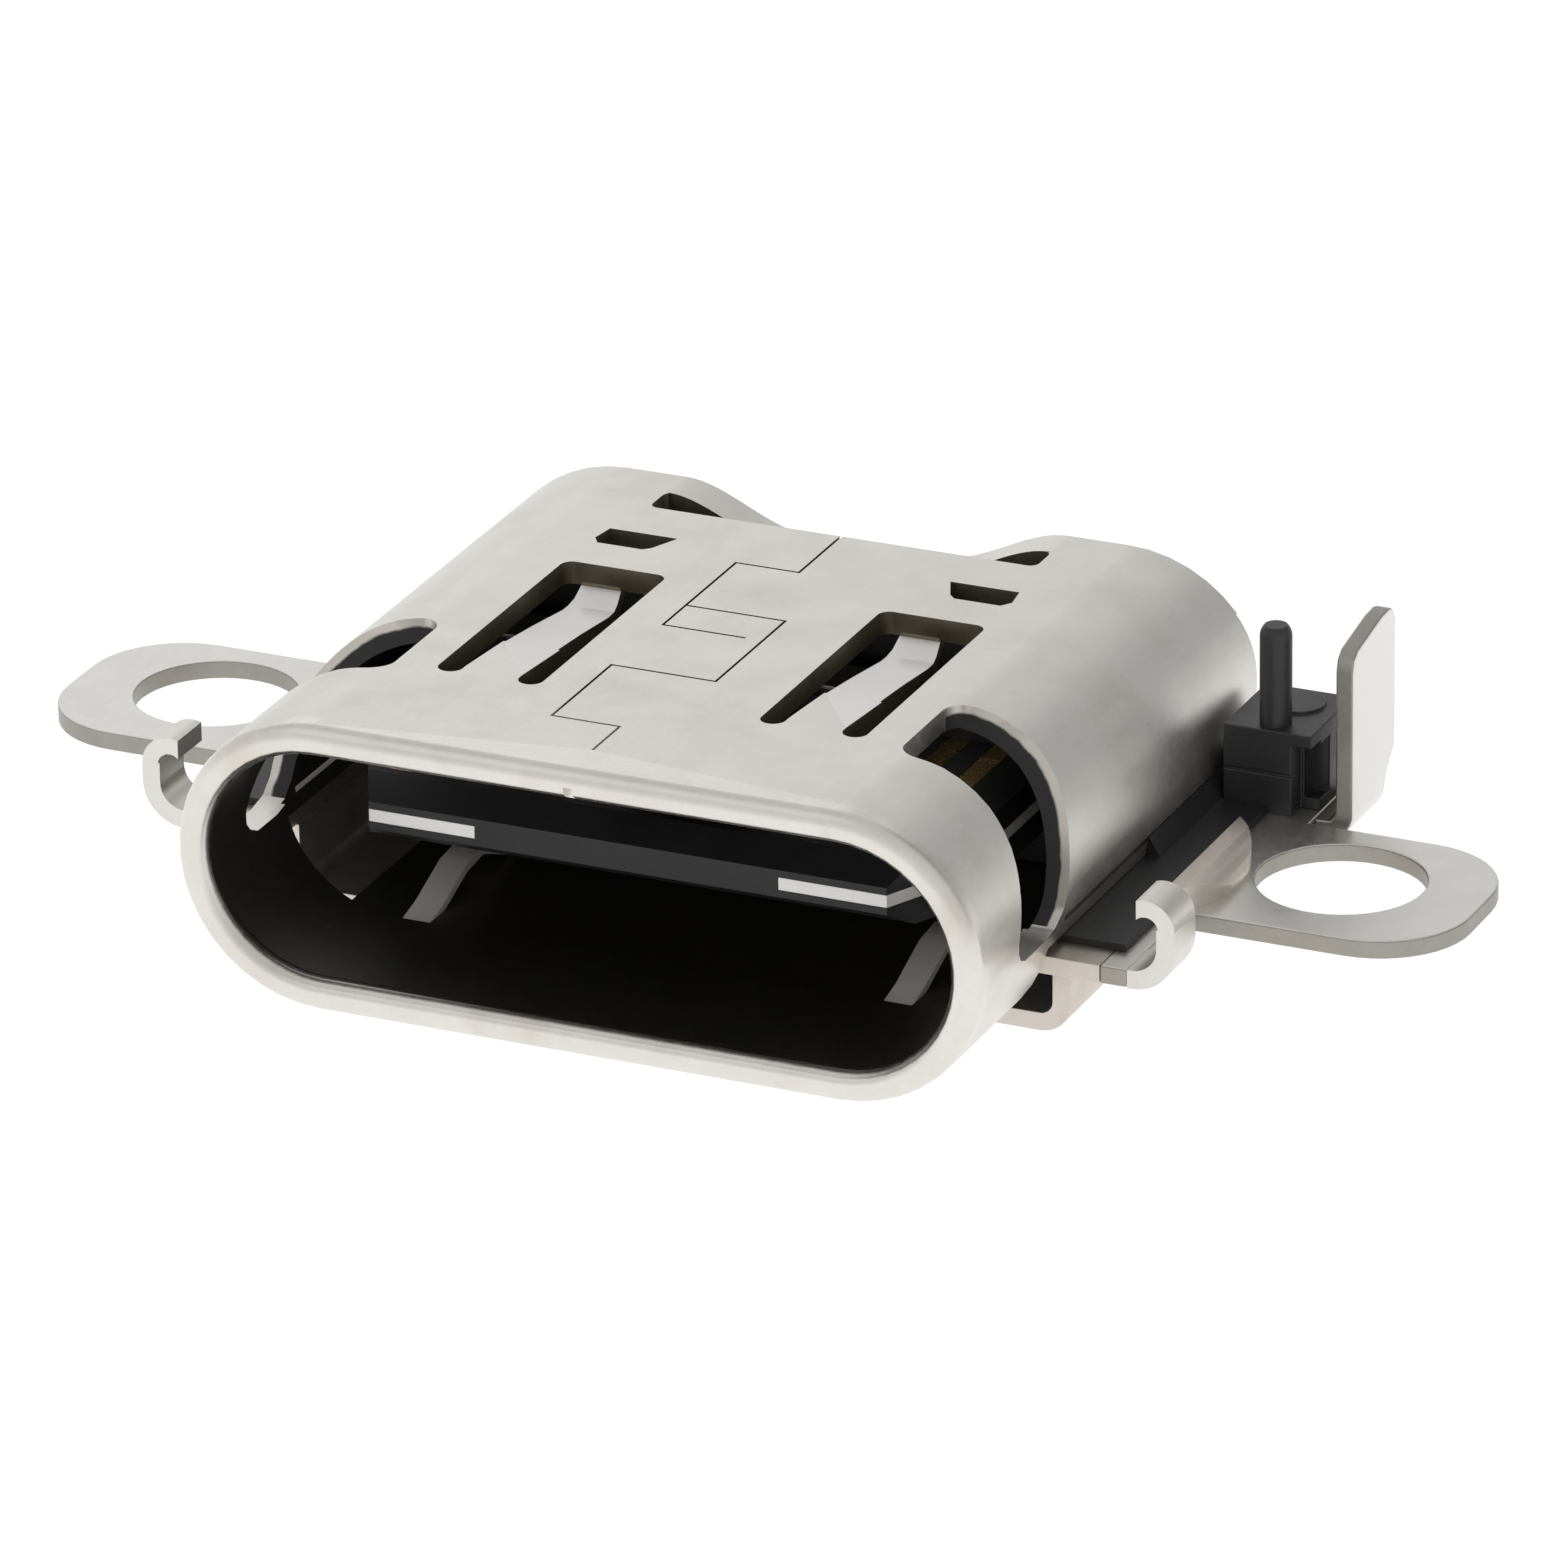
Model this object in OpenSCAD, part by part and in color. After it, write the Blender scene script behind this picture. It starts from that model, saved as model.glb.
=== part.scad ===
// Reversible 24-way receptacle with screw ears, built mouth forward.
// Frame: mouth plane y=0, +Y runs back into the socket, +X right, +Z up, z=0 at the shell's mid height. Millimetres.

/* [Shell] */
// outer half width of the shell across the full-round ends
shell_half_w = 4.47; // [4.40:0.01:4.60]
// outer half height of the shell
shell_half_h = 1.58; // [1.55:0.01:1.65]
// sheet thickness of the mouth ring
ring_wall = 0.30; // [0.25:0.01:0.30]
// sheet thickness of the shell body
body_wall = 0.25; // [0.20:0.01:0.30]
// overall length of the shell along Y
shell_len = 7.70; // [7.60:0.05:8.00]
// depth of the notch between the rear wings
notch_d = 0.92; // [0.80:0.02:1.10]
// height of the lower edge of the shell's sides
lip_z = -0.17; // [-0.20:0.01:-0.10]

/* [Top cuts] */
// centre of each sprung finger off the middle
finger_x = 1.81; // [1.75:0.01:1.90]
// width of a finger at its root
finger_w = 0.64; // [0.55:0.01:0.70]
// width of the slots beside a finger
slot_w = 0.27; // [0.20:0.01:0.30]
// front end of the finger slots
slot_y0 = 1.90; // [1.80:0.02:2.10]
// rear end of the finger slots
slot_y1 = 5.09; // [4.95:0.01:5.20]
// groove width of the interlocked seam
seam_w = 0.03; // [0.02:0.005:0.05]

/* [Tongue] */
// gap between the tongue and the mouth's side wall
tongue_gap = 0.825; // [0.75:0.005:0.95]
// tongue thickness
tongue_t = 0.70; // [0.60:0.01:0.75]
// height of the tongue's middle plane
tongue_z = 0.10; // [0:0.01:0.12]
// how far the tongue's nose sits inside the mouth
tongue_y = 1.33; // [1.20:0.01:1.50]
// contact pitch
pitch = 0.50; // [0.45:0.01:0.50]
// contact width
contact_w = 0.24; // [0.18:0.01:0.28]

/* [Bracket] */
// bracket sheet thickness
sheet = 0.20; // [0.18:0.01:0.24]
// top face of the ears
ear_z = -0.48; // [-0.54:0.01:-0.45]
// width of the flange outside the side walls
flange_w = 0.53; // [0.48:0.01:0.60]
// ear hole centre beyond the flange
hole_out = 1.45; // [1.40:0.01:1.60]
// ear hole centre ahead of the shell's rear edge
hole_back = 2.86; // [2.80:0.01:3.00]
// ear hole radius
hole_r = 0.885; // [0.80:0.005:0.95]
// metal left between an ear hole and the ear's tip
rim_w = 0.685; // [0.60:0.005:0.75]
// corner radius of the ears
ear_r = 1.00; // [0.80:0.05:1.10]
// width of the feet under the shell
foot_w = 1.00; // [0.80:0.05:1.10]
// front end of the feet
foot_y = 2.40; // [2.30:0.05:2.60]
// outer face of the front curls beyond the flange
curl_out = 0.82; // [0.78:0.01:0.90]
// outer radius of the front curls
curl_r = 0.47; // [0.42:0.01:0.50]
// outer face of the solder leg beyond the flange
leg_out = 1.05; // [1.00:0.01:1.12]
// width of the solder leg along Y
leg_w = 1.19; // [1.10:0.01:1.25]
// height of the solder leg's top above the ears
leg_h = 2.03; // [1.90:0.01:2.15]

/* [Housing] */
// height of the side lug above the ears
lug_h = 0.93; // [0.85:0.01:1.00]
// locating peg radius
peg_r = 0.17; // [0.14:0.01:0.22]
// height of the locating peg above its lug
peg_h = 1.10; // [1.00:0.01:1.20]
// peg axis beyond the flange
peg_out = 0.12; // [0.08:0.01:0.16]

/* [Hidden] */
e = 0.02;
flat_w = shell_half_w - shell_half_h;
ring_in = shell_half_h - ring_wall;
body_in = shell_half_h - body_wall;
t_top = tongue_z + tongue_t/2;
t_bot = tongue_z - tongue_t/2;
root_y = shell_len - 1.90;
hole_y = shell_len - hole_back;
tongue_half_w = shell_half_w - ring_wall - tongue_gap;
tail_y = shell_len + 0.25;
wall_x = shell_half_w - 0.02;
floor_z = -shell_half_h + 0.02;
flange_x = wall_x + flange_w;
hole_x = flange_x + hole_out;
ear_x = hole_x + hole_r + rim_w;
ear_y0 = hole_y - hole_r - 0.505;
ear_y1 = hole_y + hole_r + 0.325;
curl_x = flange_x + curl_out;
leg_x = flange_x + leg_out;
leg_y = shell_len - 1.54;
leg_top = ear_z + leg_h;
lug_y = leg_y - 0.04;
lug_z = ear_z + lug_h;
peg_x = flange_x + peg_out;
peg_y = lug_y + 0.22;
peg_top = lug_z + peg_h;
pad = 0.08;
root_w = tongue_half_w + 0.075;
root_h = tongue_t/2 + 0.23;
open_x = flat_w + 0.41;
far = shell_half_w + 0.53;
toe_y = 4.45;
heel_r = 1.0 - lip_z;
heel_y = shell_len - 1.20;
notch_y = shell_len - notch_d;
wing_y = shell_len - 0.48;
flap_y = shell_len - 0.22;
flap_z = body_in - 0.61;
$fn = 64;

// extrude an XZ profile from y0 back to y1
module ext(y0, y1) { translate([0, y1, 0]) rotate([90, 0, 0]) linear_extrude(y1 - y0) children(); }
// extrude a YZ profile from x0 to x1
module across(x0, x1) { translate([x0, 0, 0]) rotate([90, 0, 90]) linear_extrude(x1 - x0) children(); }
// extrude an XY profile from z0 to z1
module up(z0, z1) { translate([0, 0, z0]) linear_extrude(z1 - z0) children(); }
module both() { children(); mirror([1, 0, 0]) children(); }
// full-round slot profile of half width w and radius r
module stadium(w, r) { for (s = [-1, 1]) translate([s*(w - r), 0]) circle(r); square([2*(w - r), 2*r], center = true); }
module box(x0, x1, y0, y1, z0, z1) { translate([x0, y0, z0]) cube([x1 - x0, y1 - y0, z1 - z0]); }
// rounded rectangle in 2D
module rrect(x0, x1, y0, y1, r) {
  translate([x0 + r, y0]) square([x1 - x0 - 2*r, y1 - y0]);
  translate([x0, y0 + r]) square([x1 - x0, y1 - y0 - 2*r]);
  for (x = [x0 + r, x1 - r], y = [y0 + r, y1 - r]) translate([x, y]) circle(r, $fn = 32);
}

// ---- shell ----
// section of the mouth lip: u outward from the end's axis, v back from the mouth plane
module lip_section() {
  ro = 0.17; ri = 0.09;
  translate([ring_in, ro]) square([ring_wall, 0.30 - ro]);
  translate([ring_in + ri, 0]) square([ring_wall - ri - ro, 0.20]);
  translate([ring_in, ri]) square([ri + e, 0.15]);
  translate([ring_in + ri, ri]) circle(ri, $fn = 32);
  translate([shell_half_h - ro, ro]) circle(ro, $fn = 48);
}
module lip_flat() across(-flat_w, flat_w) mirror([1, -1]) lip_section();
module lip() {
  lip_flat();
  mirror([0, 0, 1]) lip_flat();
  both() translate([flat_w, 0, 0]) rotate([-90, 0, 0]) rotate([0, 0, -90]) rotate_extrude(angle = 180) lip_section();
}
// side view of the opening between ring and body
module side_gap() {
  polygon([[1.69, 1.8], [1.69, 1.50], [1.60, 1.20], [1.46, 0.86], [1.30, 0.55], [1.14, 0.22], [1.05, 0.02], [1.05, -0.10],
    [1.12, -0.20], [1.25, -0.25], [1.70, -0.25], [2.00, -0.20], [2.20, -0.07], [2.34, 0.16], [2.52, 0.47], [2.75, 0.80],
    [2.94, 1.08], [3.06, 1.30], [3.12, 1.50], [3.12, 1.8]]);
}
module side_cut() {
  intersection() {
    across(flat_w - 0.4, shell_half_w + 1) side_gap();
    union() {
      box(flat_w + 0.21, shell_half_w + 1, 0.9, 3.3, -0.6, shell_half_h + 0.5);
      box(flat_w - 0.04, flat_w + 0.31, 1.94, 2.87, body_in - 0.43, shell_half_h + 0.5);
      for (y = [1.94, 2.87]) translate([flat_w + 0.21, y, body_in - 0.43]) cylinder(r = 0.25, h = 1.2);
    }
  }
}
module finger_cut() {
  xi = finger_x - finger_w/2 - slot_w; xo = finger_x + finger_w/2 + slot_w;
  up(body_in - 0.3, 2) {
    rrect(xi, xo, slot_y0 + 1.1, slot_y1, 0.13);
    for (x = [xi, xo - slot_w]) rrect(x, x + slot_w, slot_y0, slot_y0 + 2.1, slot_w/2 - 0.001);
  }
}
// sprung finger: flush at its root, dips, then turns up at its tip
module finger() {
  h = shell_half_h; a = slot_y0; b = slot_y1 - 0.51; w = finger_w/2; t = body_wall;
  intersection() {
    across(finger_x - w - 0.08, finger_x + w + 0.08)
      polygon([[a - 0.20, h], [a + 0.4, h - 0.01], [a + 1.0, h - 0.06], [a + 1.7, h - 0.13], [b - 0.28, h - 0.215], [b - 0.14, h - 0.215], [b - 0.02, h - 0.18], [b + 0.12, h - 0.08],
        [b + 0.08, h - 0.02], [b + 0.28, h - 0.14], [b + 0.08, h - 0.32], [b - 0.10, h - 0.40], [b - 0.28, h - 0.415], [a + 1.6, h - 0.34], [a + 1.0, h - t - 0.03], [a + 0.4, h - t], [a - 0.20, h - t]]);
    up(h - 0.7, h + 0.4) polygon([[finger_x - w, a - 0.2], [finger_x + w, a - 0.2], [finger_x + w, a + 0.2],
      [finger_x + w - 0.06, b - 0.13], [finger_x + w - 0.12, b + 0.32], [finger_x - w + 0.12, b + 0.32], [finger_x - w + 0.06, b - 0.13], [finger_x - w, a + 0.2]]);
  }
}
module window_cut() translate([finger_x, slot_y1]) up(body_in - 0.3, shell_half_h + 0.4)
  polygon([[-0.25, 0.98], [0.53, 0.98], [0.57, 0.69], [0.49, 0.57], [-0.03, 0.57], [-0.11, 0.65]]);
// shoulder curve of a rear wing, height against distance from the middle
function wing(x) = let (u = min(1, max(0, (2.20 - x)/1.41))) shell_half_h - 0.45*u*u*(3 - 2*u);
module wing_body() {
  top = [for (i = [0:16]) let (x = 2.3 - 1.51*i/16) [x, wing(x)]];
  low = [for (i = [16:-1:0]) [top[i].x, top[i].y - body_wall]];
  ext(wing_y, shell_len) polygon(concat(top, low));
  ext(flap_y, shell_len) polygon(concat(top, [[0.79, flap_z], [2.3, flap_z]]));
  box(2.25, 2.95, flap_y, shell_len, flap_z, body_in + 0.17);
}
module groove(ax, ay, bx, by) {
  up(shell_half_h - 0.05, 2) {
    x0 = min(ax, bx) - seam_w/2; x1 = max(ax, bx) + seam_w/2; y0 = min(ay, by) - seam_w/2; y1 = max(ay, by) + seam_w/2;
    translate([x0, y0]) square([x1 - x0, y1 - y0]);
  }
}
module seam() {
  p = [[0, 0.62], [0, 1.26], [-0.76, 1.26], [-0.76, 2.70], [0.41, 2.70], [0.41, 4.44], [-0.72, 4.44], [-0.72, 5.70], [0, 5.70], [0, notch_y + 0.12]];
  for (i = [0:len(p) - 2]) groove(p[i][0], p[i][1], p[i+1][0], p[i+1][1]);
  groove(-0.72, 3.90, -0.72, 4.44);
  groove(-0.72, 3.87, 0.2, 3.87);
  // notch in the lip where the sheet's ends meet
  box(-0.05, 0.05, -0.1, 0.12, ring_in - 0.1, ring_in + 0.12);
}
module shell() color([0.78, 0.76, 0.72]) {
  difference() {
    union() {
      lip();
      ext(0.29, 1.9) difference() { stadium(shell_half_w, shell_half_h); stadium(flat_w + ring_in, ring_in); }
      ext(1.85, shell_len) difference() { stadium(shell_half_w, shell_half_h); stadium(flat_w + body_in, body_in); }
    }
    both() side_cut();
    // lower sides are open behind the ring
    both() box(open_x, far, toe_y, 9, -1.2, lip_z);
    both() box(open_x, far, 2.25, toe_y + 0.15, lip_z - 0.06, lip_z);
    both() box(open_x, far, 1.9, toe_y + 0.15, -1.2, lip_z - 0.22);
    both() box(wall_x - foot_w, far, 1.9, 9, -2, -1.0);
    // rounded lower rear corner of the sides
    both() difference() { box(open_x - 0.1, far, heel_y, 9, -1.5, 1.0); translate([open_x - 0.3, heel_y, 1.0]) rotate([0, 90, 0]) cylinder(r = heel_r, h = 3); }
    both() box(open_x - 0.1, far, heel_y - 0.1, 9, -2, lip_z);
    both() finger_cut();
    both() window_cut();
    // rear notch and the slots that free the wings
    box(-0.79, 0.79, notch_y, 9, body_in - 0.83, 2);
    both() box(0.7, 2.1, notch_y, 9, body_in - 0.83, 2);
    both() up(body_in - 0.43, 2) rrect(1.7, 2.22, notch_y, wing_y, 0.10);
    both() box(0.7, 2.2, wing_y - 0.02, 9, body_in - 0.83, 2);
    seam();
    // floor ends ahead of the contact tails
    box(-far, far, shell_len - 0.80, 9, -2, -1.0);
  }
  both() finger();
  both() wing_body();
}

// ---- bracket: a foot, wall and flange down each side ----
module frame() {
  r = 0.34;
  ext(foot_y, shell_len - 0.55) difference() {
    rrect(wall_x - 2, wall_x, floor_z, 1, r);
    rrect(wall_x - 2 - sheet, wall_x - sheet, floor_z + sheet, 1, r - sheet);
    translate([wall_x - 2.45, ear_z - sheet + e]) square([3, 3]);
    translate([wall_x - 2.45, -2]) square([2.45 - foot_w, 3]);
  }
  box(wall_x - 0.16, flange_x, 1.90, lug_y, ear_z - sheet, ear_z);
}
module frame_right() color([0.76, 0.74, 0.70]) frame();
module frame_left() color([0.76, 0.74, 0.70]) mirror([1, 0, 0]) frame();
module ear() {
  difference() {
    up(ear_z - sheet, ear_z) {
      translate([flange_x, ear_y0]) square([ear_x - ear_r - flange_x, ear_y1 - ear_y0]);
      translate([ear_x - ear_r - 0.3, ear_y0 + ear_r]) square([ear_r + 0.3, ear_y1 - ear_y0 - 2*ear_r]);
      for (y = [ear_y0 + ear_r, ear_y1 - ear_r]) translate([ear_x - ear_r, y]) circle(ear_r);
      translate([flange_x, ear_y1 - 0.05]) square([leg_x - 0.43 - flange_x, leg_y + leg_w - ear_y1 + 0.05]);
      translate([flange_x, 1.90]) square([0.30, ear_y0 - 1.85]);
    }
    translate([hole_x, hole_y, -2]) cylinder(r = hole_r, h = 3);
    box(leg_x - 0.43, ear_x + 1, ear_y1, leg_y - 0.02, -2, 2);
  }
}
module ear_right() color([0.80, 0.78, 0.74]) ear();
module ear_left() color([0.80, 0.78, 0.74]) mirror([1, 0, 0]) ear();
// curled hook in front of each ear
module curl() {
  ro = curl_r; cz = ear_z - sheet + ro;
  ext(1.90, 2.45) {
    difference() {
      translate([curl_x - ro, cz]) circle(ro);
      translate([curl_x - ro, cz]) circle(ro - sheet);
      translate([curl_x - 2*ro - e, cz - ro - 1]) square([ro + e, 3]);
      translate([curl_x - 2*ro, cz]) square([2*ro + 1, 1]);
    }
    translate([flange_x + 0.30, ear_z - sheet]) square([curl_x - ro - flange_x - 0.30, sheet]);
    translate([curl_x - sheet, cz - e]) square([sheet, 0.24]);
    difference() {
      translate([curl_x - 0.32, cz + 0.20]) circle(0.32);
      translate([curl_x - 0.32, cz + 0.20]) circle(0.32 - sheet + 0.02);
      translate([curl_x - 1, cz - 0.4]) square([1.2, 0.60]);
      translate([curl_x - 1.32, cz]) square([0.9, 1]);
    }
  }
}
module curl_right() color([0.72, 0.70, 0.66]) curl();
module curl_left() color([0.72, 0.70, 0.66]) mirror([1, 0, 0]) curl();
// pressed shoulder along the ear's root
module shoulder(x1, h) {
  intersection() {
    ext(hole_y - 2.29, hole_y + 0.68) { translate([x1 - h, ear_z]) intersection() { circle(h); square([h, h]); }
      translate([flange_x + 0.12, ear_z]) square([x1 - h - flange_x - 0.12 + e, h]); }
    translate([x1 - 1.5, hole_y - 0.54, -2]) cylinder(r = 1.5, h = 4, $fn = 96);
  }
}
module shoulder_right() color([0.74, 0.70, 0.66]) shoulder(flange_x + 0.56, 0.27);
module shoulder_left() color([0.74, 0.70, 0.66]) mirror([1, 0, 0]) shoulder(flange_x + 0.36, 0.13);
// through-board solder leg, bent up from the flange
module leg() color([0.84, 0.84, 0.82]) {
  ro = 0.30;
  intersection() {
    ext(leg_y, leg_y + leg_w) {
      difference() {
        translate([leg_x - ro, ear_z - sheet + ro]) circle(ro);
        translate([leg_x - ro, ear_z - sheet + ro]) circle(ro - sheet);
        translate([leg_x - 2*ro - e, -3]) square([ro + e, 6]);
        translate([leg_x - 2*ro, ear_z - sheet + ro]) square([2*ro + 1, 1]);
      }
      translate([leg_x - 0.43, ear_z - sheet]) square([0.43 - ro, sheet]);
      translate([leg_x - sheet, ear_z - sheet + ro - 0.001]) square([sheet, leg_top - ear_z + sheet - ro]);
    }
    across(flange_x, leg_x + 1) translate([leg_y, 0])
      polygon([[0, -1], [leg_w - 0.40, -1], [leg_w - 0.25, ear_z + 0.18], [leg_w, ear_z + 0.46], [leg_w, leg_top - 0.15], [leg_w - 0.07, leg_top - 0.03],
        [leg_w - 0.17, leg_top], [leg_w - 0.40, leg_top - 0.01], [0.14, leg_top - 0.13], [0.04, leg_top - 0.21], [0, leg_top - 0.35]]);
  }
}
module rear_leg() {
  x0 = flat_w + 0.46; x1 = x0 + 0.40;
  box(x0, x1, tail_y + 0.01, tail_y + 0.17, -0.40, 0.60);
  box(open_x, x1, shell_len + 0.05, tail_y, -0.56, -0.38);
  box(x0, x1, tail_y - 0.01, tail_y + 0.17, -0.56, -0.38);
}
module rear_leg_right() color([0.80, 0.79, 0.76]) rear_leg();
module rear_leg_left() color([0.80, 0.79, 0.76]) mirror([1, 0, 0]) rear_leg();

// ---- housing ----
module housing() color([0.10, 0.10, 0.10]) {
  difference() {
    union() {
      ext(root_y, shell_len - 0.30) intersection() { stadium(flat_w + body_in - 0.01, body_in - 0.01); square([10, 2*body_in - 0.02], center = true); }
      // sides show between the shell and the bracket
      both() ext(foot_y - 0.1, lug_y) translate([wall_x - 0.19, ear_z]) square([flange_w + 0.31, pad]);
      both() ext(toe_y + e, shell_len - 0.80) polygon([[wall_x - 0.35, ear_z + 0.06], [wall_x + 0.15, ear_z + 0.06], [wall_x + 0.01, lip_z - 0.02], [wall_x - 0.35, lip_z - 0.02]]);
      both() box(wall_x - 0.85, wall_x - sheet - 0.01, toe_y + e, shell_len - 0.56, -1.0, lip_z - 0.02);
      box(-open_x, open_x, shell_len - 0.35, tail_y, -0.75, 0.70);
    }
    // clearance above the wings' flaps
    box(-3, 3, wing_y, 9, min(0.70, flap_z - 0.02), 2);
    both() box(flat_w + 0.11, far, shell_len - 0.70, 9, 0.9, 2);
  }
}
// thin key that ties a lug to the housing's side
module lug_key(z1) box(wall_x - 0.19, wall_x + 0.17, shell_len - 0.80, shell_len - 0.56, ear_z, z1);
module lug() {
  difference() {
    union() {
      box(wall_x + 0.15, leg_x - 0.45, lug_y, shell_len - 0.40, ear_z, lug_z);
      lug_key(lip_z - 0.02);
    }
    // stepped front corner and the round pocket beside the leg
    box(leg_x - 0.67, leg_x, lug_y - 0.1, lug_y + 0.26, -1, lug_z - 0.14);
    translate([leg_x - 0.41, lug_y + 0.30, -0.35]) cylinder(r = 0.22, h = 0.62);
    box(wall_x, leg_x - 0.63, lug_y - 0.1, lug_y + 0.03, -0.05, -0.02);
  }
  translate([flange_x + 0.14, peg_y + 0.56, lug_z - e]) cylinder(r = 0.30, h = 0.05);
}
module lug_right() color([0.12, 0.12, 0.12]) lug();
module lug_left() color([0.12, 0.12, 0.12]) mirror([1, 0, 0]) {
  box(wall_x + 0.15, leg_x - 0.63, lug_y, shell_len - 0.60, ear_z, lip_z - 0.05);
  lug_key(lip_z - 0.05);
}
module peg() color([0.10, 0.10, 0.10]) {
  translate([peg_x, peg_y, lug_z]) cylinder(r = peg_r, h = peg_top - lug_z - peg_r*0.7);
  translate([peg_x, peg_y, peg_top - peg_r*0.7]) intersection() { sphere(peg_r); cylinder(r = 1, h = peg_r*0.7); }
}

// ---- tongue ----
module tongue_plan() {
  w = tongue_half_w; y = tongue_y;
  polygon([[0.445 - w, y], [w - 0.445, y], [w - 0.285, y + 0.33], [w, y + 0.92], [w, root_y], [-w, root_y], [-w, y + 0.92], [0.285 - w, y + 0.33]]);
}
module contact_bar(x, z0, y0) box(x - contact_w/2, x + contact_w/2, y0, root_y, z0, z0 + pad);
function tip_y(i) = (i == 0 || i == 3 || i == 8 || i == 11) ? tongue_y + 0.45 : tongue_y + 0.79;
module tongue() color([0.13, 0.13, 0.13]) {
  difference() {
    union() {
      up(t_bot, t_top) tongue_plan();
      // thicker root that the ground plates clip round
      box(-root_w, root_w, root_y - 1.10, root_y, tongue_z - root_h, tongue_z + root_h);
    }
    // nose bevels
    for (s = [0, 1]) translate([0, 0, tongue_z]) mirror([0, 0, s]) across(-4, 4)
      polygon([[tongue_y - 0.1, tongue_t/2 + 0.1], [tongue_y + 0.34, tongue_t/2 + 0.1], [tongue_y + 0.34, tongue_t/2], [tongue_y, tongue_t/2 - 0.20], [tongue_y - 0.1, tongue_t/2 - 0.20]]);
    for (i = [0:11]) let (x = (i - 5.5)*pitch) {
      box(x - contact_w/2, x + contact_w/2, tip_y(i), root_y + 1, t_top - pad, t_top + 0.001);
      box(x - contact_w/2, x + contact_w/2, tip_y(i), root_y + 1, t_bot - 0.001, t_bot + pad);
    }
    // the latch plate's edges
    both() latch_cut();
    // pockets for the ground plates
    for (s = [0, 1]) translate([0, 0, tongue_z]) mirror([0, 0, s]) box(-root_w - 0.1, root_w + 0.1, root_y - 0.90, root_y - 0.30, root_h - pad, 2);
  }
}
module latch_plan() {
  w = tongue_half_w; y = tongue_y;
  polygon([[w - 1.645, y - 0.001], [w - 0.445, y - 0.001], [w - 0.285, y + 0.33], [w + 0.001, y + 0.92], [w + 0.001, root_y - 1.40],
    [w - 0.395, root_y - 1.40], [w - 0.395, y + 0.62], [w - 0.645, y + 0.27], [w - 1.645, y + 0.27]]);
}
module latch_cut() up(tongue_z - 0.07, tongue_z + 0.07) latch_plan();
module latch() up(tongue_z - 0.07, tongue_z + 0.07) latch_plan();
module latch_right() color([0.85, 0.85, 0.82]) latch();
module latch_left() color([0.85, 0.85, 0.82]) mirror([1, 0, 0]) latch();
module ground() box(-root_w, root_w, root_y - 0.90, root_y - 0.30, tongue_z + root_h - pad, tongue_z + root_h + 0.04);
module ground_top() color([0.75, 0.74, 0.70]) ground();
module ground_bottom() color([0.75, 0.74, 0.70]) translate([0, 0, 2*tongue_z]) mirror([0, 0, 1]) ground();
// grounding spring on the floor beside the tongue
module side_spring() across(flat_w - 0.33, flat_w - 0.01) translate([0, -body_in])
  polygon([[1.95, 0], [2.3, 0.08], [2.9, 0.31], [3.3, 0.35], [3.6, 0.25], [4.1, 0], [3.9, 0], [3.5, 0.17], [3.3, 0.25], [2.9, 0.21], [2.35, 0]]);
module side_spring_right() color([0.80, 0.79, 0.76]) side_spring();
module side_spring_left() color([0.80, 0.79, 0.76]) mirror([1, 0, 0]) side_spring();
module contact_a(i) color([0.85, 0.68, 0.36]) contact_bar((i - 5.5)*pitch, t_top - pad, tip_y(i));
module contact_b(i) color([0.85, 0.68, 0.36]) contact_bar((i - 5.5)*pitch, t_bot, tip_y(i));

shell();
frame_left();
frame_right();
ear_left();
ear_right();
curl_left();
curl_right();
shoulder_left();
shoulder_right();
leg();
rear_leg_left();
rear_leg_right();
housing();
tongue();
lug_left();
lug_right();
peg();
latch_left();
latch_right();
ground_top();
ground_bottom();
side_spring_left();
side_spring_right();
contact_a(0);  // contact_a1
contact_a(1);  // contact_a2
contact_a(2);  // contact_a3
contact_a(3);  // contact_a4
contact_a(4);  // contact_a5
contact_a(5);  // contact_a6
contact_a(6);  // contact_a7
contact_a(7);  // contact_a8
contact_a(8);  // contact_a9
contact_a(9);  // contact_a10
contact_a(10);  // contact_a11
contact_a(11);  // contact_a12
contact_b(0);  // contact_b1
contact_b(1);  // contact_b2
contact_b(2);  // contact_b3
contact_b(3);  // contact_b4
contact_b(4);  // contact_b5
contact_b(5);  // contact_b6
contact_b(6);  // contact_b7
contact_b(7);  // contact_b8
contact_b(8);  // contact_b9
contact_b(9);  // contact_b10
contact_b(10);  // contact_b11
contact_b(11);  // contact_b12
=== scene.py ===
"""Looks, light and camera for the reversible board socket.

Metres, in the CAD's own frame; MM turns millimetres into metres.
"""
import math

import bmesh
import bpy
from mathutils import Matrix, Vector


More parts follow.
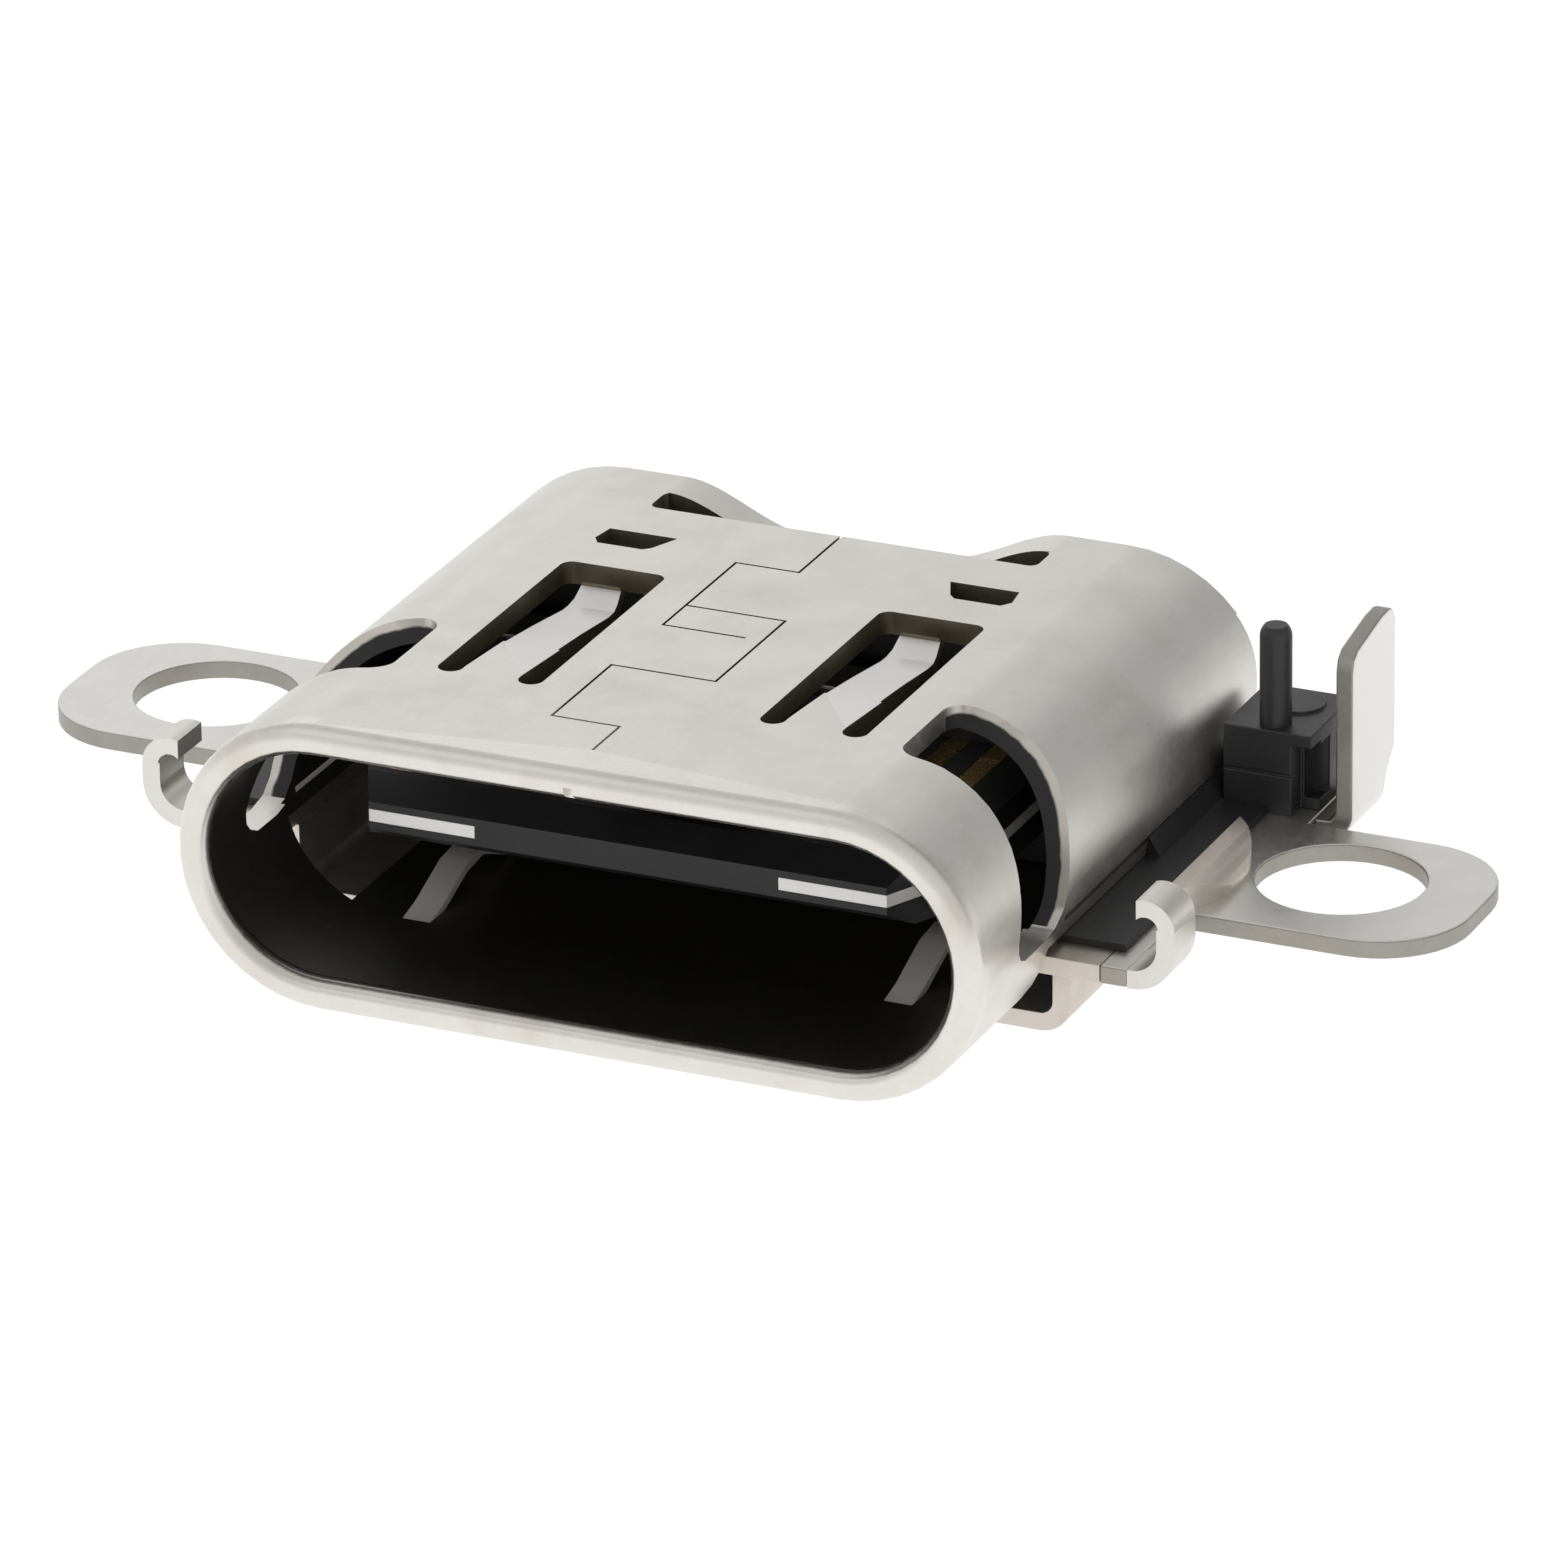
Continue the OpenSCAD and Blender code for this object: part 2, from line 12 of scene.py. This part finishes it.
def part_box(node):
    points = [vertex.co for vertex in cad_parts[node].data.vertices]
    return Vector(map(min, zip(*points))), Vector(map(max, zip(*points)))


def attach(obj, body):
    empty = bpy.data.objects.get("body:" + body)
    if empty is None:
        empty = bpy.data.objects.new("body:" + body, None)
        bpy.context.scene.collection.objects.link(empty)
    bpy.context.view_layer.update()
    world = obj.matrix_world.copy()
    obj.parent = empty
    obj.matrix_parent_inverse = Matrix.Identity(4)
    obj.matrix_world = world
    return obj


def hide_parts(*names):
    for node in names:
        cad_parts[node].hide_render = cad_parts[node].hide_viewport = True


MM = 0.001
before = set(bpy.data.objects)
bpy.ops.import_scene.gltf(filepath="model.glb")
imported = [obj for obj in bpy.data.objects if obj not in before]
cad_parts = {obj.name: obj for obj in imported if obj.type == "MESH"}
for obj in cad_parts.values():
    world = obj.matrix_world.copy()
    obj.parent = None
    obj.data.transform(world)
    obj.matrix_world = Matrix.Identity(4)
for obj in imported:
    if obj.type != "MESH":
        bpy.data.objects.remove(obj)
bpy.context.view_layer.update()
scene = bpy.context.scene

# ---- sizes read from the frame, in millimetres ----
SHELL_LO, SHELL_HI = (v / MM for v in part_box("shell"))
HALF_W, HALF_H = SHELL_HI.x, -SHELL_LO.z
FLAT_W = HALF_W - HALF_H          # straight part of the full-round section

# ---- how a CAD node's copy is cleaned, broken and shaded ----
WELD = 0.0004                     # points closer than this are one
MERGE_ANGLE = math.radians(0.6)   # faces that meet at less than this are one
SHARP_ANGLE = math.radians(32)    # edges sharper than this are broken
EDGE_STEPS = 2                    # faces across a broken edge
ALONG_AXIS = 0.9999               # least share of a normal along one axis for a plane
SAME_CURVE = 0.90                 # least cosine between neighbours that shade as one
SAME_SIDE = 0.5                   # least cosine to the faces that a broken edge's middle follows
METAL_BUMP, PLASTIC_BUMP, LINED_BUMP = 0.0016, 0.002, 0.002   # height of the grain, in millimetres


# ---- shader helpers ----
class Graph:
    """A thin writer for one node tree: call it with a node type and its inputs."""

    def __init__(self, tree):
        self.tree = tree

    def add(self, kind, inputs=None, **settings):
        n = self.tree.nodes.new(kind)
        for k, v in settings.items():
            setattr(n, k, v)
        for k, v in (inputs or {}).items():
            self.put(n.inputs[k], v)
        return n

    def put(self, socket, v):
        if isinstance(v, bpy.types.NodeSocket):
            self.tree.links.new(v, socket)
        else:
            socket.default_value = v

    def math(self, op, a, b=0.0, clamp=False):
        return self.add("ShaderNodeMath", {0: a, 1: b}, operation=op, use_clamp=clamp).outputs[0]

    def remap(self, v, lo, hi, to_lo=0.0, to_hi=1.0):
        n = self.add("ShaderNodeMapRange",
                     {"Value": v, "From Min": lo, "From Max": hi, "To Min": to_lo, "To Max": to_hi})
        n.clamp = True
        return n.outputs[0]

    def mix(self, fac, a, b):
        n = self.add("ShaderNodeMix", data_type="RGBA")
        self.put(n.inputs[0], fac)
        self.put(n.inputs[6], a)
        self.put(n.inputs[7], b)
        return n.outputs[2]

    def noise(self, vector, scale, detail=3.0, rough=0.5):
        return self.add("ShaderNodeTexNoise",
                        {"Vector": vector, "Scale": scale, "Detail": detail, "Roughness": rough}).outputs[0]

    def sway(self, v, middle, reach):
        """(v - middle) * reach: a value that swings to either side of zero."""
        return self.math("MULTIPLY", self.math("SUBTRACT", v, middle), reach)

    def object_mm(self):
        """Object coordinates in millimetres."""
        where = self.add("ShaderNodeTexCoord").outputs["Object"]
        return self.add("ShaderNodeMapping", {"Vector": where, "Scale": (1 / MM,) * 3}).outputs[0]

    def grey(self, v):
        return self.add("ShaderNodeCombineXYZ", {0: v, 1: v, 2: v}).outputs[0]

    def scaled(self, colour, gain):
        """A colour times one number."""
        factors = {0: colour, 1: self.grey(gain)}
        return self.add("ShaderNodeVectorMath", factors, operation="MULTIPLY").outputs[0]


def new_group(name, ins, outs):
    g = bpy.data.node_groups.new(name, "ShaderNodeTree")
    for label, kind, value in ins:
        s = g.interface.new_socket(label, in_out="INPUT", socket_type=kind)
        s.default_value = value
    for label, kind in outs:
        g.interface.new_socket(label, in_out="OUTPUT", socket_type=kind)
    w = Graph(g)
    return g, w, w.add("NodeGroupInput").outputs, w.add("NodeGroupOutput").inputs


def rgb(r, g, b):
    return (r, g, b, 1.0)


def plating_group():
    """Satin plating on stamped sheet: cloudy tone, warm stain, fine grain and rolling lines."""
    g, w, i, o = new_group(
        "stamped_plating",
        [("Base", "NodeSocketColor", rgb(0.7, 0.68, 0.64)),
         ("Stain", "NodeSocketColor", rgb(0.5, 0.42, 0.33)),
         ("Stain Amount", "NodeSocketFloat", 0.3), ("Cloud", "NodeSocketFloat", 0.1),
         ("Roughness", "NodeSocketFloat", 0.35), ("Grain", "NodeSocketFloat", 1.0)],
        [("Color", "NodeSocketColor"), ("Roughness", "NodeSocketFloat"), ("Height", "NodeSocketFloat")])
    at = w.object_mm()
    rolled = w.add("ShaderNodeMapping", {"Vector": at, "Scale": (9.0, 1.0, 9.0)}).outputs[0]
    cloud = w.noise(at, 1.3, 5.0, 0.6)
    speck = w.noise(at, 16.0, 4.0, 0.7)
    lines = w.noise(rolled, 2.2, 4.0, 0.6)
    tone = w.math("ADD", w.sway(cloud, 0.5, 1.4), w.sway(speck, 0.5, 0.9))
    tone = w.math("ADD", tone, w.sway(lines, 0.5, 0.5))
    gain = w.math("ADD", 1.0, w.math("MULTIPLY", tone, i["Cloud"]))
    shaded = w.scaled(i["Base"], gain)
    stain = w.math("MULTIPLY", w.remap(w.noise(at, 0.75, 6.0, 0.62), 0.50, 0.72), i["Stain Amount"], True)
    w.put(o["Color"], w.mix(stain, shaded, i["Stain"]))
    w.put(o["Roughness"], w.math("ADD", i["Roughness"], w.sway(speck, 0.45, 0.22), True))
    relief = w.math("ADD", w.math("MULTIPLY", speck, 0.7), w.math("MULTIPLY", lines, 0.5))
    w.put(o["Height"], w.math("MULTIPLY", relief, i["Grain"]))
    return g


def moulding_group():
    """Moulded plastic: spark-eroded grain with faint flow clouds."""
    g, w, i, o = new_group(
        "moulded_grain",
        [("Base", "NodeSocketColor", rgb(0.02, 0.02, 0.022)), ("Roughness", "NodeSocketFloat", 0.5)],
        [("Color", "NodeSocketColor"), ("Roughness", "NodeSocketFloat"), ("Height", "NodeSocketFloat")])
    at = w.object_mm()
    grain = w.noise(at, 22.0, 3.0, 0.6)
    flow = w.noise(at, 1.6, 4.0, 0.6)
    lift = w.math("ADD", 0.75, w.math("MULTIPLY", flow, 0.5))
    w.put(o["Color"], w.scaled(i["Base"], lift))
    w.put(o["Roughness"], w.math("ADD", i["Roughness"], w.sway(flow, 0.5, 0.25), True))
    w.put(o["Height"], grain)
    return g


def lining_group():
    """Sheet over black lining on a sheared wall: metal near the outer skin, black below it.

    The depth is the skin's radius less the distance from the middle of the full-round section.
    """
    g, w, i, o = new_group(
        "sheet_over_lining",
        [("Sheet", "NodeSocketColor", rgb(0.7, 0.68, 0.64)),
         ("Lining", "NodeSocketColor", rgb(0.01, 0.01, 0.01)),
         ("Skin", "NodeSocketFloat", HALF_H), ("Thickness", "NodeSocketFloat", 0.1),
         ("Flat", "NodeSocketFloat", FLAT_W)],
        [("Color", "NodeSocketColor"), ("Roughness", "NodeSocketFloat"), ("Metallic", "NodeSocketFloat"),
         ("Height", "NodeSocketFloat")])
    at = w.object_mm()
    xyz = w.add("ShaderNodeSeparateXYZ", {0: at}).outputs
    side = w.math("MAXIMUM", w.math("SUBTRACT", w.math("ABSOLUTE", xyz[0]), i["Flat"]), 0.0)
    far = w.math("SQRT", w.math("ADD", w.math("MULTIPLY", side, side), w.math("MULTIPLY", xyz[2], xyz[2])))
    ragged = w.sway(w.noise(at, 5.0, 3.0), 0.5, 0.05)
    depth = w.math("DIVIDE", w.math("ADD", w.math("SUBTRACT", i["Skin"], far), ragged), i["Thickness"])
    sheet = w.remap(depth, 0.85, 1.15, 1.0, 0.0)
    w.put(o["Color"], w.mix(sheet, i["Lining"], i["Sheet"]))
    w.put(o["Roughness"], w.math("SUBTRACT", 0.6, w.math("MULTIPLY", sheet, 0.22)))
    w.put(o["Metallic"], sheet)
    w.put(o["Height"], w.noise(at, 14.0, 3.0))
    return g


PLATING, MOULDING, LINING = plating_group(), moulding_group(), lining_group()


def finish(name, group, inputs, metallic, bump_mm):
    """A material that takes colour, roughness and height from one group."""
    m = bpy.data.materials.new(name)
    m.use_nodes = True
    w = Graph(m.node_tree)
    bsdf = next(n for n in m.node_tree.nodes if n.type == "BSDF_PRINCIPLED")
    g = w.add("ShaderNodeGroup", node_tree=group)
    for k, v in inputs.items():
        g.inputs[k].default_value = v
    w.put(bsdf.inputs["Base Color"], g.outputs["Color"])
    w.put(bsdf.inputs["Roughness"], g.outputs["Roughness"])
    bump = w.add("ShaderNodeBump", {"Height": g.outputs["Height"], "Strength": 1.0, "Distance": bump_mm * MM})
    w.put(bsdf.inputs["Normal"], bump.outputs[0])
    if "Metallic" in g.outputs:
        w.put(bsdf.inputs["Metallic"], g.outputs["Metallic"])
    else:
        bsdf.inputs["Metallic"].default_value = metallic
    return m


def metal(name, base, rough, cloud=0.12, stain=0.25, tint=(0.50, 0.43, 0.34), metallic=1.0):
    inputs = {"Base": rgb(*base), "Stain": rgb(*tint), "Stain Amount": stain,
              "Cloud": cloud, "Roughness": rough}
    return finish(name, PLATING, inputs, metallic, METAL_BUMP)


def plastic(name, base, rough):
    return finish(name, MOULDING, {"Base": rgb(*base), "Roughness": rough}, 0.0, PLASTIC_BUMP)


LINED = finish("lined_edge", LINING, {"Sheet": rgb(0.62, 0.59, 0.54), "Thickness": 0.09}, 1.0, LINED_BUMP)
SATIN = metal("satin_nickel", (0.74, 0.72, 0.68), 0.36)
RIM = metal("rim_nickel", (0.76, 0.735, 0.69), 0.30, stain=0.35)
CUT = metal("sheared_edge", (0.23, 0.205, 0.155), 0.5, cloud=0.35, stain=0.5, tint=(0.15, 0.12, 0.08))
# Dark copy of the nickel for the shell's inner walls: painted shade inside the shell.
INSIDE_PAINTED_SHADE = metal("inner_wall_painted_shade", (0.16, 0.155, 0.145), 0.40, cloud=0.25, stain=0.4, tint=(0.2, 0.15, 0.11))
# Whiter, less metallic copy of the nickel: painted highlight. It goes on the finger tops, latches, side
# springs and the leg's side faces.
NICKEL_PAINTED_HIGHLIGHT = metal("nickel_painted_highlight", (0.88, 0.87, 0.85), 0.42, cloud=0.05, stain=0.05, metallic=0.35)
EAR = metal("ear_nickel", (0.76, 0.745, 0.715), 0.38, stain=0.15)
EAR_EDGE = metal("ear_edge", (0.36, 0.345, 0.315), 0.42, cloud=0.25)
# Darker, warmer copy of the nickel for the frames and shoulders: painted shade where they face outboard beside
# the dark strip.
NICKEL_PAINTED_SHADE = metal("nickel_painted_shade", (0.66, 0.61, 0.56), 0.40, stain=0.4)
BLACK = plastic("housing_black", (0.012, 0.012, 0.013), 0.48)
LUG = plastic("lug_black", (0.020, 0.021, 0.023), 0.42)
GOLD = metal("contact_gold", (0.80, 0.58, 0.25), 0.24, cloud=0.1, stain=0.2, tint=(0.5, 0.3, 0.1))


# ---- pieces: each CAD solid with broken edges ----
def is_plane(f):
    return max(abs(v) for v in f.normal) > ALONG_AXIS


def hard_normal(v, f, soft):
    """Normal of an unbroken face at one corner: planes stay flat, curved strips blend with their own kind.

    soft is the face layer that marks broken edges.
    """
    if is_plane(f):
        return f.normal
    kin = [g for g in v.link_faces if not g[soft] and g.normal.dot(f.normal) > SAME_CURVE]
    for g in kin:
        if is_plane(g):
            return g.normal
    total = Vector()
    for g in kin:
        corner = next(c for c in g.loops if c.vert == v)
        total += g.normal * corner.calc_angle()
    return total.normalized() if total.length else f.normal


def middle_normal(v, f):
    """Normal in the middle of a broken edge: the mean by area of the faces that look the same way."""
    near = (g.normal * g.calc_area() for g in v.link_faces if g.normal.dot(f.normal) > SAME_SIDE)
    return sum(near, Vector()).normalized()


def corner_normals(bm, soft):
    """Shading normals: a broken edge turns from one neighbour's to the other's, and flat faces stay flat."""
    out = []
    for f in bm.faces:
        for c in f.loops:
            hard = [g for g in c.vert.link_faces if not g[soft]]
            if not f[soft]:
                n = hard_normal(c.vert, f, soft)
            elif hard:
                n = hard_normal(c.vert, max(hard, key=lambda g: g.normal.dot(f.normal)), soft)
            else:
                n = middle_normal(c.vert, f)
            out.append(n.copy() if n.length else f.normal.copy())
    return out


def dressed(node, width, pick, shape=None, keep=None):
    """Copies a CAD node and breaks its sharp edges by width millimetres.

    pick(centre, normal) chooses each face's material, shape(bm) may move points first,
    and keep(edge) names edges that stay sharp.
    """
    bm = bmesh.new()
    bm.from_mesh(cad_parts[node].data)
    soft = bm.faces.layers.int.new("soft")
    bmesh.ops.scale(bm, vec=(1 / MM,) * 3, verts=bm.verts)
    bmesh.ops.remove_doubles(bm, verts=bm.verts, dist=WELD)
    bmesh.ops.dissolve_limit(bm, angle_limit=MERGE_ANGLE, verts=bm.verts, edges=bm.edges)
    bm.normal_update()
    if shape:
        shape(bm)
        bm.normal_update()
    sharp = [e for e in bm.edges if len(e.link_faces) == 2 and e.calc_face_angle(0) > SHARP_ANGLE
             and not (keep and keep(e))]
    if width and sharp:
        made = bmesh.ops.bevel(bm, geom=sharp, offset=width, offset_type="OFFSET", segments=EDGE_STEPS,
                               profile=0.5, affect="EDGES", clamp_overlap=True)
        for f in made["faces"]:
            f[soft] = 1
    bmesh.ops.triangulate(bm, faces=[f for f in bm.faces if len(f.verts) > 3])
    bm.normal_update()
    mats = []
    for f in bm.faces:
        m = pick(f.calc_center_median(), f.normal)
        if m not in mats:
            mats.append(m)
        f.material_index = mats.index(m)
        f.smooth = True
    normals = corner_normals(bm, soft)
    bmesh.ops.scale(bm, vec=(MM,) * 3, verts=bm.verts)
    mesh = bpy.data.meshes.new(node + "_dressed")
    bm.to_mesh(mesh)
    bm.free()
    for m in mats:
        mesh.materials.append(m)
    mesh.normals_split_custom_set(normals)
    obj = bpy.data.objects.new(node + "_dressed", mesh)
    scene.collection.objects.link(obj)
    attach(obj, "root")
    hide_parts(node)


# ---- where the shell's finishes meet, in millimetres ----
FINGER_TOP_X, FINGER_TOP_Y = (1.45, 2.17), (2.1, 4.95)
FINGER_TOP_Z = (1.05, HALF_H - 0.025)      # below the top plate
SHEARED_Y = (1.7, 7.3)                     # from the first slot to the last window
SHEARED_X, SHEARED_Z = 2.75, 0.9
OPENING_Y = (0.9, 3.3)                     # the crescent opening on each side
OPENING_X, OPENING_Z = 2.7, -0.45
LIP_BACK, RIM_BACK = 0.14, 0.4             # how far back the lip and the bright rim reach
CORE_REACH = 0.5                           # nearer the middle than this, no face counts as inner wall

# ---- how far a face's normal leans, as a share of its length ----
INWARD = -0.35                             # along the way out from the middle: an inner wall
FINGER_UP = 0.35                           # along Z: the top of a finger
WALL_UP = 0.6                              # along Z: less is a sheared wall of the top plate
WALL_BACK = 0.30                           # along Y: more is a sheared wall of a side opening
FACE_UP = 0.55                             # along Z: less is the edge of a flat piece
LEG_SIDE = 0.6                             # along X: more is a face of the leg

# ---- the sprung fingers and the seam, in millimetres ----
FINGER_X, FINGER_HALF = 1.81, 0.335        # middle and half width of the strip
SLOT_FRONT, STRIP_END = 1.90, 3.0
RAMP_LEAD = 0.2                            # flat part before the ramp
RAMP_DROP = 0.07                           # fall over the ramp
SEAM_HALF, SEAM_DEPTH, SEAM_END = 0.85, 0.06, 6.7


def within(v, span):
    return span[0] < v < span[1]


def inward(c, n):
    """True on faces that look towards the middle of the full-round section."""
    core = Vector((max(-FLAT_W, min(FLAT_W, c.x)), 0, 0))
    out = Vector((c.x - core.x, 0, c.z))
    return out.length > CORE_REACH and Vector((n.x, 0, n.z)).dot(out.normalized()) < INWARD


def shell_face(c, n):
    """Finish of one face of the shell, by where it lies and which way it looks."""
    x = abs(c.x)
    if within(x, FINGER_TOP_X) and within(c.y, FINGER_TOP_Y) and within(c.z, FINGER_TOP_Z) and n.z > FINGER_UP:
        # The tops of the sprung fingers take painted highlight.
        return NICKEL_PAINTED_HIGHLIGHT                                   # sprung fingers
    if c.z > SHEARED_Z and abs(n.z) < WALL_UP and x < SHEARED_X and within(c.y, SHEARED_Y):
        return CUT                                      # sheared walls of slots and windows
    if within(c.y, OPENING_Y) and x > OPENING_X and c.z > OPENING_Z and abs(n.y) > WALL_BACK:
        return LINED                                    # sheared walls of the side openings
    # Faces behind the lip that look towards the middle take painted shade.
    if c.y > LIP_BACK and inward(c, n):
        return INSIDE_PAINTED_SHADE
    return RIM if c.y < RIM_BACK else SATIN


def lower_fingers(bm):
    """The strip between each pair of slots ramps down to its finger.

    A point sinks by the drop times its share of the way from the ramp's start to the strip's end.
    """
    top = [f for f in bm.faces if f.normal.z > 0.999 and f.calc_center_median().z > HALF_H - 0.01]
    bmesh.ops.bisect_plane(bm, geom=bm.verts[:] + bm.edges[:] + top,
                           plane_co=(0, SLOT_FRONT + RAMP_LEAD, 0), plane_no=(0, 1, 0))
    for v in bm.verts:
        on_strip = abs(abs(v.co.x) - FINGER_X) < FINGER_HALF and v.co.z > HALF_H - 0.02
        if on_strip and SLOT_FRONT + 0.22 < v.co.y < STRIP_END + 0.02:
            v.co.z -= RAMP_DROP * (v.co.y - SLOT_FRONT - RAMP_LEAD) / (STRIP_END - SLOT_FRONT - RAMP_LEAD)


def seam_edge(e):
    """True on the edges of the interlocked seam, which stay sharp."""
    ends = [v.co for v in e.verts]
    return all(abs(c.x) < SEAM_HALF and c.z > HALF_H - SEAM_DEPTH and c.y < SEAM_END for c in ends)


def edged(face, edge):
    """One finish on faces that look up or down, another on the rest."""
    return lambda c, n: edge if abs(n.z) < FACE_UP else face


# The leg's side faces take painted highlight; the other faces take the dark edge finish.
def leg_face(c, n):
    return NICKEL_PAINTED_HIGHLIGHT if abs(n.x) > LEG_SIDE else EAR_EDGE


def plain(m):
    return lambda c, n: m


dressed("shell", 0.016, shell_face, shape=lower_fingers, keep=seam_edge)
for side in ("left", "right"):
    dressed("ear_" + side, 0.025, edged(EAR, EAR_EDGE))
    # Frames and shoulders take the nickel with painted shade.
    dressed("frame_" + side, 0.025, plain(NICKEL_PAINTED_SHADE))
    dressed("curl_" + side, 0.025, plain(SATIN))
    dressed("shoulder_" + side, 0.03, plain(NICKEL_PAINTED_SHADE))
    dressed("rear_leg_" + side, 0.02, plain(SATIN))
    dressed("lug_" + side, 0.03, plain(LUG))
    # Latches and side springs take the nickel with painted highlight.
    dressed("latch_" + side, 0.008, plain(NICKEL_PAINTED_HIGHLIGHT))
    dressed("side_spring_" + side, 0.01, plain(NICKEL_PAINTED_HIGHLIGHT))
dressed("leg", 0.03, leg_face)
dressed("peg", 0.0, plain(LUG))
dressed("housing", 0.02, plain(BLACK))
dressed("tongue", 0.015, plain(BLACK))
for plate in ("ground_top", "ground_bottom"):
    dressed(plate, 0.012, plain(SATIN))
for row in "ab":
    for i in range(1, 13):
        dressed(f"contact_{row}{i}", 0.008, plain(GOLD))

# ---- pale floor that lights the piece from below ----
FLOOR_CELLS, FLOOR_REACH = 8, 2.0
FLOOR_GAP = 0.00002               # metres between the shell and the floor
floor_z = SHELL_LO.z * MM
bm = bmesh.new()
bmesh.ops.create_grid(bm, x_segments=FLOOR_CELLS, y_segments=FLOOR_CELLS, size=FLOOR_REACH)
bmesh.ops.translate(bm, vec=(0, 0, floor_z - FLOOR_GAP), verts=bm.verts)
floor_mesh = bpy.data.meshes.new("floor")
bm.to_mesh(floor_mesh)
bm.free()
floor = bpy.data.objects.new("floor", floor_mesh)
scene.collection.objects.link(floor)
fm = bpy.data.materials.new("floor_white")
fm.use_nodes = True
fb = next(n for n in fm.node_tree.nodes if n.type == "BSDF_PRINCIPLED")
fb.inputs["Base Color"].default_value = rgb(0.05, 0.05, 0.05)
fb.inputs["Roughness"].default_value = 1.0
fb.inputs["Specular IOR Level"].default_value = 0.0
fb.inputs["Emission Color"].default_value = rgb(1, 1, 1)
fb.inputs["Emission Strength"].default_value = 1.0
floor_mesh.materials.append(fm)

# ---- soft studio surround: pale at the horizon, greyer overhead, a grey card at the back right ----
HORIZON, OVERHEAD, CARD_DEPTH = 0.86, 0.62, 0.34
world = bpy.data.worlds.new("studio")
scene.world = world
world.use_nodes = True
ww = Graph(world.node_tree)
sky = next(n for n in world.node_tree.nodes if n.type == "BACKGROUND")
way = ww.add("ShaderNodeSeparateXYZ", {0: ww.add("ShaderNodeTexCoord").outputs["Generated"]}).outputs
rise = ww.remap(way[2], 0.0, 0.9, HORIZON, OVERHEAD)
card = ww.math("MULTIPLY", ww.remap(way[0], 0.02, 0.30), ww.remap(way[1], 0.0, 0.5), True)
band = ww.math("MULTIPLY", card, ww.remap(way[2], 0.05, 0.22), True)
level = ww.math("SUBTRACT", rise, ww.math("MULTIPLY", band, CARD_DEPTH))
ww.put(sky.inputs["Color"], ww.grey(level))
sky.inputs["Strength"].default_value = 1.0


def softbox(name, at, aim, size, watts):
    """A rectangular light at one point that looks at another; places and sizes in millimetres."""
    light = bpy.data.lights.new(name, "AREA")
    light.shape = "RECTANGLE"
    light.size, light.size_y = size[0] * MM, size[1] * MM
    light.energy = watts
    o = bpy.data.objects.new(name, light)
    o.location = Vector(at) * MM
    o.rotation_euler = (Vector(aim) * MM - o.location).to_track_quat("-Z", "Y").to_euler()
    scene.collection.objects.link(o)


softbox("key", (-70, -60, 130), (0, 4, 0), (90, 90), 0.006)
softbox("rear_left", (-120, 150, 90), (0, 4, 0), (110, 60), 0.008)

# ---- camera ----
AZ, EL, ROLL = (math.radians(a) for a in (24.475, 23.261, -0.835))
EYE = (47.794, -99.750, 48.951)   # millimetres
SENSOR = 36.0
FOCAL_RATIO = 12002 / 1568        # focal length over the frame's width
back = Vector((math.sin(AZ) * math.cos(EL), -math.cos(AZ) * math.cos(EL), math.sin(EL)))
right0 = Vector((math.cos(AZ), math.sin(AZ), 0))
up0 = back.cross(right0)
right = math.cos(ROLL) * right0 + math.sin(ROLL) * up0
up = -math.sin(ROLL) * right0 + math.cos(ROLL) * up0
cam_data = bpy.data.cameras.new("camera")
cam_data.sensor_width = SENSOR
cam_data.lens = FOCAL_RATIO * SENSOR
cam_data.clip_start, cam_data.clip_end = 0.01, 20.0
cam = bpy.data.objects.new("camera", cam_data)
turn = Matrix((right, up, back)).transposed().to_4x4()
cam.matrix_world = Matrix.Translation(Vector(EYE) * MM) @ turn
scene.collection.objects.link(cam)
scene.camera = cam
scene.view_settings.view_transform = "Standard"
